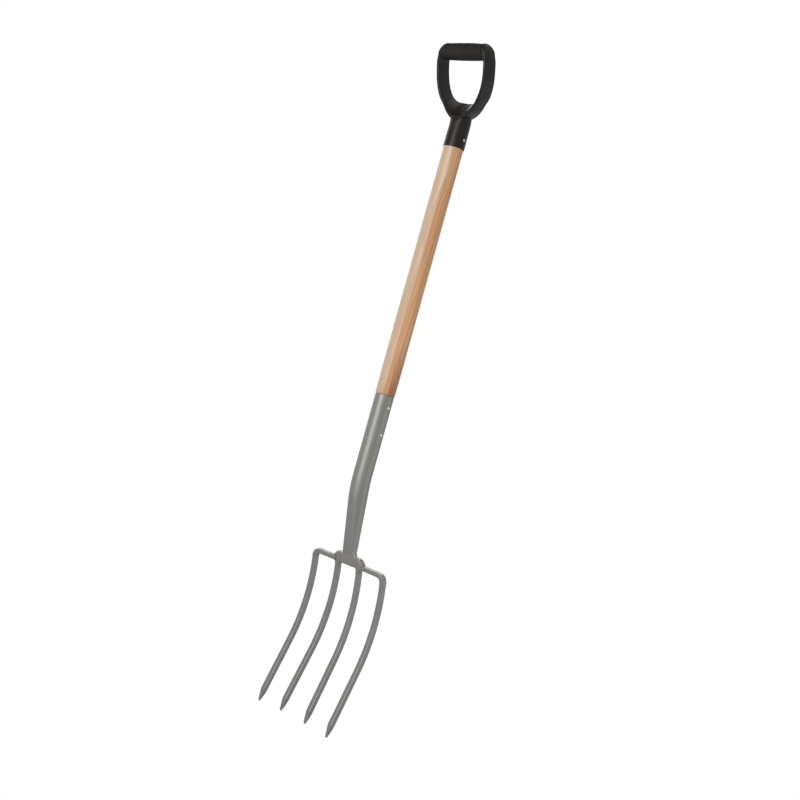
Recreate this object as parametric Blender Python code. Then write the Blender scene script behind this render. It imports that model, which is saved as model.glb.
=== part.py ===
"""A four-tine digging fork with a bent steel socket, a wooden shaft and a D-grip.

The shaft runs up +Z and the tines point down, with the fork's width along X and its front towards -Y.
Sizes are millimetres until a mesh is made. The head's parts are laid out flat, by their place across
the fork and their distance down the tines, and then bent along the tines' side profile.
"""

import math

import bmesh
import bpy
from mathutils import Matrix, Vector

MM = 0.001
CLEARANCE = 0.3

# Wooden shaft
SHAFT_DIAMETER = 36.1
SHAFT_EXPOSED = 456.5
SHAFT_END_EASE = 0.35
SHAFT_EASE_LENGTH = 30.0
TENON_CHAMFER = 1.5
SOCKET_TENON_LENGTH = 138.0
GRIP_TENON_LENGTH = 45.0

# Steel socket: round above, bent back and flattened to a foot below
SOCKET_DIAMETER = 34.3
SOCKET_WALL = 1.8
SOCKET_RIM_HEIGHT = 309.5
SOCKET_BEND_START = 165.0
SOCKET_BEND_RADIUS = 265.0
SOCKET_LEAN = math.radians(10.1)
TAPER_START = 122.0
FOOT_START = 26.0
FOOT_WIDTH = 24.0
FOOT_DEPTH = 16.6
FOOT_CORNER = 2.6
FOOT_END_FRONT = 7.4
FOOT_END_BACK = 6.2
FOOT_SWELL_FRONT = 0.8
FOOT_SWELL_BACK = 0.2

# Rivets
RIVET_SHANK = 4.4
RIVET_HEAD = 6.2
RIVET_DOME = 1.5
SOCKET_RIVETS_BELOW_RIM = (21.5, 71.5)
GRIP_RIVET_ABOVE_RIM = 16.0

# Tines, all bent to one side profile
TINE_BAR = 10.0
TINE_CORNER = 2.5
TINE_LEAN_TOP = math.radians(14.9)
TINE_LEAN_TIP = math.radians(-16.9)
TINE_BEND_RADIUS = 317.0
INNER_TINE_PLACE = 26.9
INNER_TINE_SPLAY = 5.3
INNER_TINE_LENGTH = 294.0
OUTER_TINE_PLACE = 87.65
OUTER_TINE_SPLAY = 2.5
OUTER_TINE_LENGTH = 296.5
TIP_FRONT_TAPER = 22.0
TIP_BACK_TAPER = 12.0
TIP_WIDTH = 4.0
TIP_SET_IN = 1.3
TIP_BLUNT = 0.6
TIP_DEPTH = 4.0

# Yoke between the inner tines, and the outer tines' arms
YOKE_TOP = 17.0
YOKE_UNDERSIDE = 2.3
YOKE_FRONT = 6.0
YOKE_BACK = 3.8
YOKE_SETBACK = 1.0
YOKE_SHOULDER = 9.0
YOKE_REACH = 1.5
YOKE_CROTCH = 4.0
PAD_HALF = 13.0
PAD_FRONT = 7.4
PAD_UNDERSIDE = 1.2
PAD_CORNER = 1.2
ARM_TOP = 5.1
ARM_UNDERSIDE = 2.8
ARM_CORNER = 1.6
ARM_OUTER_BEND = 15.5
ARM_INNER_BEND = 8.0

# Weld beads
ARM_BEAD_LENGTH = 5.4
ARM_BEAD_RISE = 7.0
ARM_BEAD_DROP = 2.0
FOOT_BEAD_LENGTH = 4.0
FOOT_BEAD_LEG = 1.8
BEAD_CROWN = 0.9
WELD_EASE = 0.4

# D-grip, laid out in its own plane, which leans forward from the shaft's line
COLLAR_RIM_DIAMETER = 38.8
COLLAR_NECK_DIAMETER = 38.0
COLLAR_WALL = 2.85
COLLAR_STRAIGHT = 41.0
COLLAR_RIM_EASE = 0.8
COLLAR_TOP_COVER = 6.7
COLLAR_TOP_FORWARD = 6.6
GRIP_PIVOT = 69.0
GRIP_LEAN = math.radians(20.0)
STRAP_TOP_DEPTH = 30.0
STRAP_DEPTH = 32.4
STRAP_EDGE = 3.0
STRAP_THICKNESS = 6.5
THROAT_FALL = math.radians(29.0)
THROAT_HEIGHT = 21.8
THROAT_EXTRA_DEPTH = 3.0
BAR_PLACE = 101.9
BAR_DIAMETER = 30.7
BAR_END_DIAMETER = 28.6
BAR_CORE_DIAMETER = 14.0
STRAP_TOP_DIAMETER = 30.2
GRIP_OPENING_HALF = 51.2
GRIP_OPENING_TOP = 85.0
OPENING_BOTTOM = 5.0
OPENING_FLARE = 5.0
OPENING_FULLNESS = 2.55
STRAP_TOP_INSET = 11.8
STRAP_TOP_CORNER = 12.8


def material(name, colour, roughness, metallic):
    made = bpy.data.materials.new(name)
    made.use_nodes = True
    shader = made.node_tree.nodes["Principled BSDF"]
    shader.inputs["Base Color"].default_value = (*colour, 1.0)
    shader.inputs["Roughness"].default_value = roughness
    shader.inputs["Metallic"].default_value = metallic
    return made


def solid(name, bm, look):
    """An object in metres from a mesh in millimetres, turned right side out."""
    if bm.calc_volume(signed=True) < 0:
        bmesh.ops.reverse_faces(bm, faces=bm.faces)
    bm.transform(Matrix.Scale(MM, 4))
    mesh = bpy.data.meshes.new(name)
    bm.to_mesh(mesh)
    bm.free()
    mesh.materials.append(look)
    mesh.shade_smooth()
    mesh.set_sharp_from_angle(angle=math.radians(35))
    made = bpy.data.objects.new(name, mesh)
    bpy.context.scene.collection.objects.link(made)
    return made


def combine(target, tool, operation):
    """Joins a hidden tool to the target, or cuts it out."""
    tool.hide_render = True
    tool.display_type = "WIRE"
    boolean = target.modifiers.new(tool.name, "BOOLEAN")
    boolean.operation = operation
    boolean.object = tool


def loft(rings, closed=False):
    """A skin through rings of points, capped at both ends unless it closes on itself."""
    bm = bmesh.new()
    skin = [[bm.verts.new(point) for point in ring] for ring in rings]
    following = skin[1:] + (skin[:1] if closed else [])
    for ring, after in zip(skin, following):
        for place in range(len(ring)):
            bm.faces.new((ring[place - 1], ring[place], after[place], after[place - 1]))
    if not closed:
        bm.faces.new(skin[0][::-1])
        bm.faces.new(skin[-1])
    return bm


def rounded_rectangle(half_wide, half_deep, radius, steps):
    """Points round a rectangle with round corners, which is a circle when the radius is both halves."""
    radius = min(radius, half_wide, half_deep)
    points = []
    for quarter in range(4):
        start = quarter * math.pi / 2
        across = math.copysign(half_wide - radius, math.cos(start + math.pi / 4))
        along = math.copysign(half_deep - radius, math.sin(start + math.pi / 4))
        for step in range(steps):
            angle = start + (step + 0.5) / steps * math.pi / 2
            points.append((across + radius * math.cos(angle), along + radius * math.sin(angle)))
    return points


def turned(profile, steps=8):
    """A solid turned about the Z axis from a profile of heights and radii."""
    rings = []
    for height, radius in profile:
        circle = rounded_rectangle(radius, radius, radius, steps)
        rings.append([Vector((x, y, height)) for x, y in circle])
    return loft(rings)


# Side profile of the head

def socket_axis(height):
    """How far back the socket's centre line is at a height, and its lean there."""
    bend_end = SOCKET_BEND_START - SOCKET_BEND_RADIUS * math.sin(SOCKET_LEAN)
    if height >= SOCKET_BEND_START:
        return 0.0, 0.0
    if height > bend_end:
        lean = math.asin((SOCKET_BEND_START - height) / SOCKET_BEND_RADIUS)
        return SOCKET_BEND_RADIUS * (1 - math.cos(lean)), lean
    set_back = SOCKET_BEND_RADIUS * (1 - math.cos(SOCKET_LEAN))
    return set_back + (bend_end - height) * math.tan(SOCKET_LEAN), SOCKET_LEAN


YOKE_TOP_HEIGHT = YOKE_TOP * math.cos(TINE_LEAN_TOP)
HEAD_BACK = (
    socket_axis(YOKE_TOP_HEIGHT)[0] + YOKE_SETBACK + YOKE_TOP * math.sin(TINE_LEAN_TOP)
)
YOKE_HALF = INNER_TINE_PLACE + TINE_BAR / 2
CROTCH_END = YOKE_UNDERSIDE + 2 * YOKE_CROTCH
BEND_LENGTH = TINE_BEND_RADIUS * (TINE_LEAN_TOP - TINE_LEAN_TIP)


def head_point(across, down, front):
    """The place in space of a point laid out flat: across the fork, down the tines and off their line."""
    bent = min(max(down, 0.0), BEND_LENGTH)
    lean = TINE_LEAN_TOP - bent / TINE_BEND_RADIUS
    back = HEAD_BACK + TINE_BEND_RADIUS * (math.cos(lean) - math.cos(TINE_LEAN_TOP))
    height = -TINE_BEND_RADIUS * (math.sin(TINE_LEAN_TOP) - math.sin(lean))
    straight = down - bent
    back += straight * math.sin(lean) - front * math.cos(lean)
    height += -straight * math.cos(lean) - front * math.sin(lean)
    return Vector((across, back, height))


def bar_ring(outer, inner, front, back, radius, steps=4):
    """A section of a bar between two points laid out flat, from its front face to its back face."""
    outer, inner = Vector(outer), Vector(inner)
    middle = (outer + inner) / 2
    side = (outer - inner).normalized()
    half = (outer - inner).length / 2
    ring = []
    for along, off in rounded_rectangle(half, (front - back) / 2, radius, steps):
        place = middle + side * along
        ring.append(head_point(place.x, place.y, (front + back) / 2 + off))
    return ring


def tine_rings(place, splay, length, start):
    """Sections of a tine from its point up to where it leaves the arm or the yoke."""
    half = TINE_BAR / 2
    tip_back = TIP_SET_IN - half
    tip_front = tip_back + TIP_DEPTH
    rings = []
    for left in (0.0, TIP_BLUNT, 4.0, TIP_BACK_TAPER, TIP_FRONT_TAPER):
        front_share = left / TIP_FRONT_TAPER
        back_share = min(1.0, left / TIP_BACK_TAPER)
        blunt = max(0.0, TIP_BLUNT - left)
        wide = (TIP_WIDTH + (TINE_BAR - TIP_WIDTH) * front_share**0.8) / 2 - blunt
        back = tip_back - TIP_SET_IN * back_share + blunt
        front = tip_front + (half - tip_front) * front_share - blunt
        down = length - left
        middle = place + splay * down / length
        rings.append(bar_ring((middle + wide, down), (middle - wide, down), front, back, TINE_CORNER))
    bends = 13
    for step in range(bends + 1):
        down = BEND_LENGTH + (start - BEND_LENGTH) * step / bends
        middle = place + splay * down / length
        rings.append(bar_ring((middle + half, down), (middle - half, down), half, -half, TINE_CORNER))
    return rings


def corner_rings(outer, inner, outer_radius, inner_radius, fronts, backs, radius, steps):
    """Sections round a square bend from upright to level, about an outer and an inner centre.

    The front and the back face each move from their first place to their last.
    """
    rings = []
    for step in range(steps + 1):
        share = step / steps
        angle = math.pi / 2 * share
        turn = Vector((math.cos(angle), -math.sin(angle)))
        rings.append(
            bar_ring(
                Vector(outer) + turn * outer_radius,
                Vector(inner) + turn * inner_radius,
                fronts[0] + (fronts[1] - fronts[0]) * share,
                backs[0] + (backs[1] - backs[0]) * share,
                radius,
            )
        )
    return rings


def mirrored(rings):
    return [[Vector((-point.x, point.y, point.z)) for point in ring] for ring in rings]


def centre_fork(look):
    """The yoke and both inner tines, forged as one, with a pad in the middle for the socket's foot."""
    crotch_place = YOKE_HALF - TINE_BAR - YOKE_CROTCH
    rings = tine_rings(INNER_TINE_PLACE, INNER_TINE_SPLAY, INNER_TINE_LENGTH, CROTCH_END)
    rings += corner_rings(
        (YOKE_HALF + YOKE_REACH - YOKE_SHOULDER, YOKE_SHOULDER - YOKE_TOP),
        (crotch_place, YOKE_UNDERSIDE + YOKE_CROTCH),
        YOKE_SHOULDER,
        YOKE_CROTCH,
        (TINE_BAR / 2, YOKE_FRONT),
        (-TINE_BAR / 2, -YOKE_BACK),
        TINE_CORNER,
        7,
    )
    top, underside = (PAD_HALF, -YOKE_TOP), (PAD_HALF, PAD_UNDERSIDE)
    rings.append(bar_ring(top, underside, PAD_FRONT, -YOKE_BACK, PAD_CORNER))
    return solid("centre_fork", loft(rings + mirrored(rings)[::-1]), look)


def outer_tine(name, side, look):
    """An arm from the yoke's side that bends down into an outer tine."""
    half = TINE_BAR / 2
    bend_end = 1.2 * ARM_OUTER_BEND - ARM_TOP
    rings = tine_rings(OUTER_TINE_PLACE, OUTER_TINE_SPLAY, OUTER_TINE_LENGTH, bend_end)
    rings += corner_rings(
        (OUTER_TINE_PLACE + half - ARM_OUTER_BEND, ARM_OUTER_BEND - ARM_TOP),
        (OUTER_TINE_PLACE - half - ARM_INNER_BEND, ARM_UNDERSIDE + ARM_INNER_BEND),
        ARM_OUTER_BEND,
        ARM_INNER_BEND,
        (half, half),
        (-half, -half),
        ARM_CORNER,
        7,
    )
    start = YOKE_HALF + YOKE_REACH + CLEARANCE
    flat_end = start + ARM_BEAD_LENGTH + CLEARANCE * 2
    rings.append(bar_ring((flat_end, -ARM_TOP), (flat_end, ARM_UNDERSIDE), half, -half, ARM_CORNER))
    eased = half - WELD_EASE
    outer, inner = (start, WELD_EASE - ARM_TOP), (start, ARM_UNDERSIDE - WELD_EASE)
    rings.append(bar_ring(outer, inner, eased, -eased, ARM_CORNER))
    if side < 0:
        rings = mirrored(rings)
    return solid(name, loft(rings), look)


def yoke_side(down):
    """How far out the yoke's side is at a distance down the tines' line."""
    below_shoulder = down - YOKE_SHOULDER + YOKE_TOP
    if below_shoulder > 0:
        drawn_in = below_shoulder / (CROTCH_END - YOKE_SHOULDER + YOKE_TOP)
        return YOKE_HALF + YOKE_REACH * (1 - drawn_in)
    curve = math.sqrt(YOKE_SHOULDER**2 - below_shoulder**2)
    return YOKE_HALF + YOKE_REACH - YOKE_SHOULDER + curve


def arm_weld(name, side, look):
    """The bead round an arm where it meets the yoke, built up to a shoulder on top."""

    def ring(along, rise, drop, crown):
        top, low = -ARM_TOP - rise, ARM_UNDERSIDE + drop
        outline = rounded_rectangle(
            (low - top) / 2, TINE_BAR / 2 + crown, ARM_CORNER + crown, 4
        )
        points = []
        for off, front in outline:
            down = (top + low) / 2 - off
            points.append(head_point(yoke_side(down) + CLEARANCE + along, down, front))
        return points

    rings = []
    for share in (0.0, 0.4, 0.7, 1.0):
        rise = CLEARANCE + (ARM_BEAD_RISE - CLEARANCE) * share
        drop = CLEARANCE + (ARM_BEAD_DROP - CLEARANCE) * share
        rings.append(ring(0.0, rise, drop, CLEARANCE + (BEAD_CROWN - CLEARANCE) * share))
    rings += [
        ring(ARM_BEAD_LENGTH * 0.35, ARM_BEAD_RISE * 0.72, ARM_BEAD_DROP * 0.45, BEAD_CROWN),
        ring(ARM_BEAD_LENGTH * 0.7, ARM_BEAD_RISE * 0.38, CLEARANCE * 2, BEAD_CROWN * 0.8),
        ring(ARM_BEAD_LENGTH, CLEARANCE * 2, CLEARANCE * 2, CLEARANCE * 2),
        ring(ARM_BEAD_LENGTH, CLEARANCE, CLEARANCE, CLEARANCE),
    ]
    if side < 0:
        rings = mirrored(rings)
    return solid(name, loft(rings, closed=True), look)


def foot_ring(above, around=0.0, ahead=0.0, steps=8):
    """A section of the socket's foot above the yoke, or of what lies round it and ahead of it."""
    share = min(1.0, above / FOOT_BEAD_LENGTH)
    front = FOOT_END_FRONT + FOOT_SWELL_FRONT * share + ahead
    back = FOOT_END_BACK + FOOT_SWELL_BACK * share + around
    outline = rounded_rectangle(
        FOOT_WIDTH / 2 + around, (front + back) / 2, FOOT_CORNER + around, steps
    )
    down = -YOKE_TOP - CLEARANCE - above
    return [head_point(x, down, (front - back) / 2 + off) for x, off in outline]


def socket_ring(height, inset, steps=8):
    """A section of the socket across its centre line, inset for the inside of its wall."""
    share = min(1.0, max(0.0, (TAPER_START - height) / (TAPER_START - FOOT_START)))
    round_half = SOCKET_DIAMETER / 2
    wide = round_half + (FOOT_WIDTH / 2 - round_half) * share - inset
    deep = round_half + (FOOT_DEPTH / 2 - round_half) * share - inset
    corner = round_half + (FOOT_CORNER - round_half) * share - inset
    back, lean = socket_axis(height)
    points = []
    for x, front in rounded_rectangle(wide, deep, max(corner, 0.5), steps):
        points.append(Vector((x, back - front * math.cos(lean), height - front * math.sin(lean))))
    return points


def socket(look):
    """A tube with one wall all the way, open at its rim and closed at its foot."""
    heights = [SOCKET_RIM_HEIGHT, SOCKET_BEND_START]
    bends = 4
    for step in range(1, bends + 1):
        heights.append(SOCKET_BEND_START + (TAPER_START - 4 - SOCKET_BEND_START) * step / bends)
    tapers = 5
    for step in range(1, tapers + 1):
        heights.append(TAPER_START - 4 + (FOOT_START - TAPER_START + 4) * step / tapers)
    outside = [foot_ring(0.0), foot_ring(FOOT_BEAD_LENGTH)]
    outside += [socket_ring(height, 0.0) for height in reversed(heights)]
    inside = [socket_ring(height, SOCKET_WALL) for height in heights]
    return solid("socket", loft(outside + inside), look)


def socket_weld(look):
    """The bead round the socket's foot where it stands on the yoke."""
    thin = CLEARANCE * 2
    rings = [
        foot_ring(0.0, CLEARANCE, CLEARANCE),
        foot_ring(0.0, FOOT_BEAD_LEG, thin),
        foot_ring(FOOT_BEAD_LENGTH * 0.45, FOOT_BEAD_LEG * 0.65, thin),
        foot_ring(FOOT_BEAD_LENGTH, thin, thin),
        foot_ring(FOOT_BEAD_LENGTH, CLEARANCE, CLEARANCE),
    ]
    return solid("weld_socket", loft(rings, closed=True), look)


def shaft(look):
    """The turned wood, with a tenon at each end."""
    full = SHAFT_DIAMETER / 2
    lower_tenon = SOCKET_DIAMETER / 2 - SOCKET_WALL - CLEARANCE
    upper_tenon = COLLAR_RIM_DIAMETER / 2 - COLLAR_WALL - CLEARANCE
    bottom = SOCKET_RIM_HEIGHT + CLEARANCE
    top = SOCKET_RIM_HEIGHT + SHAFT_EXPOSED - CLEARANCE
    profile = [
        (bottom - SOCKET_TENON_LENGTH, lower_tenon - TENON_CHAMFER),
        (bottom - SOCKET_TENON_LENGTH + TENON_CHAMFER, lower_tenon),
        (bottom, lower_tenon),
        (bottom, full - 2 * SHAFT_END_EASE),
        (bottom + SHAFT_END_EASE, full - SHAFT_END_EASE),
        (bottom + SHAFT_EASE_LENGTH, full),
        (top, full),
        (top, upper_tenon),
        (top + GRIP_TENON_LENGTH - TENON_CHAMFER, upper_tenon),
        (top + GRIP_TENON_LENGTH, upper_tenon - TENON_CHAMFER),
    ]
    return solid("shaft", turned(profile), look)


def crosswise(bm, height):
    """Turns a mesh made about the Z axis to run along X at a height on the shaft's line."""
    bm.transform(Matrix.Translation((0, 0, height)) @ Matrix.Rotation(math.pi / 2, 4, "Y"))
    return bm


def rivet(name, height, around, look):
    """A rivet right through, with a low dome on each side of what it holds."""
    seat = around / 2 + CLEARANCE
    half_head = RIVET_HEAD / 2
    end = [
        (seat, RIVET_SHANK / 2),
        (seat, half_head),
        (seat + RIVET_DOME * 0.45, half_head * 0.93),
        (seat + RIVET_DOME * 0.8, half_head * 0.66),
        (seat + RIVET_DOME, half_head * 0.25),
    ]
    profile = [(-place, radius) for place, radius in reversed(end)] + end
    return solid(name, crosswise(turned(profile, 4), height), look)


def drill_for(rivet_height, targets):
    """Cuts a rivet's hole, with its clearance, through each target."""
    radius = RIVET_SHANK / 2 + CLEARANCE
    hole = turned([(-COLLAR_RIM_DIAMETER, radius), (COLLAR_RIM_DIAMETER, radius)], 4)
    cutter = solid(f"rivet_hole_{rivet_height:.0f}", crosswise(hole, rivet_height), HELPER)
    for target in targets:
        combine(target, cutter, "DIFFERENCE")


# D-grip

GRIP_RIM_HEIGHT = SOCKET_RIM_HEIGHT + SHAFT_EXPOSED
PIVOT_HEIGHT = GRIP_RIM_HEIGHT + GRIP_PIVOT


def grip_point(across, up, front):
    """The place in space of a point in the grip's leaning plane, or off its front."""
    back = -up * math.sin(GRIP_LEAN) - front * math.cos(GRIP_LEAN)
    height = PIVOT_HEIGHT + up * math.cos(GRIP_LEAN) - front * math.sin(GRIP_LEAN)
    return Vector((across, back, height))


def strap_ring(outer, inner, half_deep, forward, slope, steps=5):
    """A section of the grip's strap, whose inner side can slope down towards the front."""
    outer, inner = Vector(outer), Vector(inner)
    side = (outer - inner).normalized()
    width = (outer - inner).length
    middle = (outer + inner) / 2
    ring = []
    for along, off in rounded_rectangle(width / 2, half_deep, STRAP_EDGE, steps):
        place = middle + side * along
        front = forward + off
        inner_share = 0.5 - along / width
        ring.append(grip_point(place.x, place.y - slope * inner_share * front, front))
    return ring


def strap_top_rings():
    """Sections of the right strap over the bar's end, level with each other and closing in a dome."""
    rings = []
    crown = STRAP_TOP_DIAMETER / 2
    steps = 7
    for step in range(steps + 1):
        turn = math.radians(86.0) * (1 - step / steps)
        up = BAR_PLACE + crown * math.sin(turn)
        half_deep = min(STRAP_TOP_DEPTH / 2, crown * math.cos(turn))
        rise = (up - GRIP_OPENING_TOP) / (BAR_PLACE + crown - GRIP_OPENING_TOP)
        inner = GRIP_OPENING_HALF - STRAP_TOP_INSET * rise
        outer = GRIP_OPENING_HALF + STRAP_THICKNESS - STRAP_TOP_CORNER * rise**2.5
        rings.append(strap_ring((outer, up), (inner, up), half_deep, 0.0, 0.0))
    outer = (GRIP_OPENING_HALF + STRAP_THICKNESS, GRIP_OPENING_TOP)
    inner = (GRIP_OPENING_HALF, GRIP_OPENING_TOP)
    rings.append(strap_ring(outer, inner, STRAP_TOP_DEPTH / 2, 0.0, 0.0))
    return rings


def ramp(value, low, high):
    """How far a value is on the way from a low to a high one, from 0 to 1."""
    return min(1.0, max(0.0, (value - low) / (high - low)))


def strap_rings():
    """Sections of the whole strap, down one side, round the throat and up the other."""
    fall = GRIP_OPENING_TOP - OPENING_FLARE - OPENING_BOTTOM
    rings = strap_top_rings()
    steps = 13
    for step in range(steps + 1):
        turn = math.pi / 2 * step / steps
        wide = max(0.0, math.cos(turn)) ** (2 / OPENING_FULLNESS)
        deep = math.sin(turn) ** (2 / OPENING_FULLNESS)
        inner = Vector((GRIP_OPENING_HALF * wide, OPENING_BOTTOM + fall * (1 - deep)))
        out = wide ** (OPENING_FULLNESS - 1) / GRIP_OPENING_HALF
        down = deep ** (OPENING_FULLNESS - 1) / fall
        angle = math.degrees(math.atan2(down, out))
        throat = ramp(angle, 42, 90) ** 1.45
        thick = STRAP_THICKNESS + (THROAT_HEIGHT - STRAP_THICKNESS) * throat
        outer = inner + Vector((math.cos(math.radians(angle)), -math.sin(math.radians(angle)))) * thick
        extra = THROAT_EXTRA_DEPTH * ramp(angle, 50, 90) ** 1.2
        grown = ramp(angle, 0, 30)
        half_deep = (STRAP_TOP_DEPTH + (STRAP_DEPTH - STRAP_TOP_DEPTH) * grown) / 2
        slope = math.tan(THROAT_FALL) * ramp(angle, 25, 80)
        rings.append(strap_ring(outer, inner, half_deep + extra, extra, slope))
    return rings + mirrored(rings[:-1])[::-1]


def collar_rings():
    """Sections of the collar from its rim, tipping back at the top to lie under the throat's slope."""
    rim = COLLAR_RIM_DIAMETER / 2
    neck = COLLAR_NECK_DIAMETER / 2
    neck_height = GRIP_RIM_HEIGHT + COLLAR_STRAIGHT
    throat = grip_point(0.0, OPENING_BOTTOM - COLLAR_TOP_COVER, COLLAR_TOP_FORWARD)
    sections = [
        (0.0, GRIP_RIM_HEIGHT, 0.0, rim - COLLAR_RIM_EASE, rim - COLLAR_RIM_EASE),
        (0.0, GRIP_RIM_HEIGHT + COLLAR_RIM_EASE, 0.0, rim, rim),
        (0.0, neck_height, 0.0, neck, neck),
    ]
    for share in (0.35, 0.7, 1.0):
        height = neck_height + (throat.z - neck_height) * share
        tilt = (GRIP_LEAN + THROAT_FALL) * share
        sections.append((throat.y * share**2, height, tilt, neck + share, neck - 0.8 * share**4))
    rings = []
    for back, height, tilt, half_wide, half_deep in sections:
        ring = []
        for turn in range(32):
            angle = math.tau * (turn + 0.5) / 32
            off = half_deep * math.sin(angle)
            place = (half_wide * math.cos(angle), back + off * math.cos(tilt), height + off * math.sin(tilt))
            ring.append(Vector(place))
        rings.append(ring)
    return rings


def along_bar(bm):
    """Turns a mesh made about the Z axis to lie along the bar, across the grip."""
    middle = grip_point(0.0, BAR_PLACE, 0.0)
    bm.transform(Matrix.Translation(middle) @ Matrix.Rotation(math.pi / 2, 4, "Y"))
    return bm


def grip_frame(look):
    """The moulded collar, throat and straps, with the core that the bar's sleeve is on."""
    frame = solid("grip_frame", loft(strap_rings()), look)
    collar = solid("collar", loft(collar_rings()), HELPER)
    core_half = GRIP_OPENING_HALF - STRAP_THICKNESS / 3
    core_radius = BAR_CORE_DIAMETER / 2
    core = turned([(-core_half, core_radius), (core_half, core_radius)], 5)
    bore_radius = COLLAR_RIM_DIAMETER / 2 - COLLAR_WALL
    bore_end = GRIP_RIM_HEIGHT + GRIP_TENON_LENGTH + CLEARANCE
    bore = turned([(GRIP_RIM_HEIGHT - COLLAR_WALL, bore_radius), (bore_end, bore_radius)])
    combine(frame, collar, "UNION")
    combine(frame, solid("bar_core", along_bar(core), HELPER), "UNION")
    combine(frame, solid("collar_bore", bore, HELPER), "DIFFERENCE")
    return frame


def grip_sleeve(look):
    """The barrel round the bar's core, its ends slanted to lie against the straps."""
    crown = STRAP_TOP_DIAMETER / 2
    slant = STRAP_TOP_INSET / (BAR_PLACE + crown - GRIP_OPENING_TOP)
    end = GRIP_OPENING_HALF - slant * (BAR_PLACE - GRIP_OPENING_TOP) - CLEARANCE * 2
    middle_radius = BAR_DIAMETER / 2
    end_radius = BAR_END_DIAMETER / 2
    bore_radius = BAR_CORE_DIAMETER / 2 + CLEARANCE

    def ring(share, radius):
        points = []
        for turn in range(32):
            angle = math.tau * (turn + 0.5) / 32
            up = radius * math.cos(angle)
            across = share * end - slant * up * math.copysign(abs(share) ** 4, share)
            points.append(grip_point(across, BAR_PLACE + up, radius * math.sin(angle)))
        return points

    rings = [ring(-1.0, bore_radius)]
    rings.append(ring(-1.0, end_radius - 1.2))
    for step in range(-5, 6):
        share = step / 5 * 0.975
        bulge = 1 - abs(share) ** 2.4
        rings.append(ring(share, end_radius + (middle_radius - end_radius) * bulge))
    rings.append(ring(1.0, end_radius - 1.2))
    rings.append(ring(1.0, bore_radius))
    return solid("grip_sleeve", loft(rings, closed=True), look)


def stand_on_tips(objects):
    """Moves everything so that the origin is under the middle of the fork, level with its points."""
    bpy.context.view_layer.update()
    corners = [made.matrix_world @ Vector(corner) for made in objects for corner in made.bound_box]
    low = [min(corner[axis] for corner in corners) for axis in range(3)]
    high = [max(corner[axis] for corner in corners) for axis in range(3)]
    move = Vector((-(low[0] + high[0]) / 2, -(low[1] + high[1]) / 2, -low[2]))
    for made in bpy.data.objects:
        made.location += move


for old in list(bpy.data.objects):
    bpy.data.objects.remove(old)

HELPER = material("helper", (0.5, 0.5, 0.5), 0.5, 0.0)
PLASTIC = material("dark_plastic", (0.028, 0.026, 0.024), 0.42, 0.0)
WOOD = material("ash_wood", (0.68, 0.47, 0.27), 0.45, 0.0)
STEEL = material("coated_steel", (0.24, 0.235, 0.225), 0.42, 0.6)
BRIGHT = material("bright_steel", (0.75, 0.75, 0.73), 0.25, 1.0)
WELDED = material("weld_steel", (0.2, 0.195, 0.19), 0.5, 0.6)

parts = [
    centre_fork(STEEL),
    outer_tine("outer_tine_left", -1, STEEL),
    outer_tine("outer_tine_right", 1, STEEL),
    arm_weld("weld_left", -1, WELDED),
    arm_weld("weld_right", 1, WELDED),
    socket_weld(WELDED),
]
tube = socket(STEEL)
wood = shaft(WOOD)
grip = grip_frame(PLASTIC)
parts += [tube, wood, grip, grip_sleeve(PLASTIC)]

for rivet_name, below in zip(("upper", "lower"), SOCKET_RIVETS_BELOW_RIM):
    rivet_height = SOCKET_RIM_HEIGHT - below
    drill_for(rivet_height, (tube, wood))
    parts.append(rivet(f"socket_rivet_{rivet_name}", rivet_height, SOCKET_DIAMETER, BRIGHT))

grip_rivet_height = GRIP_RIM_HEIGHT + GRIP_RIVET_ABOVE_RIM
drill_for(grip_rivet_height, (grip, wood))
parts.append(rivet("grip_rivet", grip_rivet_height, COLLAR_RIM_DIAMETER, BRIGHT))

stand_on_tips(parts)
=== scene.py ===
"""A four-tine digging fork in a white studio: grey coated steel, lacquered ash and a dark moulded grip.

The pieces are modelled in millimetres. The shaft's line is the Z axis, the fork's width lies along X and
its front is towards -Y. The head's pieces are modelled flat and then bent along the tines' side profile.
"""

import math

import bmesh
import bpy
from mathutils import Matrix, Vector, noise


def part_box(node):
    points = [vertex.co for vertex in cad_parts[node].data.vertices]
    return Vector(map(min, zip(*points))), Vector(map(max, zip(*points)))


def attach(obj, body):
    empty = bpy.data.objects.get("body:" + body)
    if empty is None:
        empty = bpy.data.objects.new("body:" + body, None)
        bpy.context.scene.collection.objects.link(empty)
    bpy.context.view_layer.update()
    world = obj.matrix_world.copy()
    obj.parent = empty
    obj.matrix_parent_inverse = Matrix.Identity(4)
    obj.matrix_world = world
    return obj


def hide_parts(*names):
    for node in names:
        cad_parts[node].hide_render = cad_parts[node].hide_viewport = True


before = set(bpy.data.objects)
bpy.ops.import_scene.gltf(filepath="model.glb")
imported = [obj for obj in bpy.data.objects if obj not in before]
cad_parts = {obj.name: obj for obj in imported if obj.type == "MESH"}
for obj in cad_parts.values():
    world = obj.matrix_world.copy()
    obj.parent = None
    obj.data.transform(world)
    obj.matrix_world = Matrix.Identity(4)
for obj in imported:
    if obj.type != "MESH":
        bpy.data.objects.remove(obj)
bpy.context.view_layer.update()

MM = 0.001
GAP = 0.3

# How finely the pieces are modelled: distances between sections, and sides round them
SECTION_STEP = 4.0
TIP_STEP = 1.6
COLLAR_STEP = 5.0
BAR_SIDES = 48
ROUND_SIDES = 96
ARM_BEAD_SIDES = 40
ARM_BEAD_ROUNDS = 96
FOOT_BEAD_SIDES = 32
FOOT_BEAD_ROUNDS = 140

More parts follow.
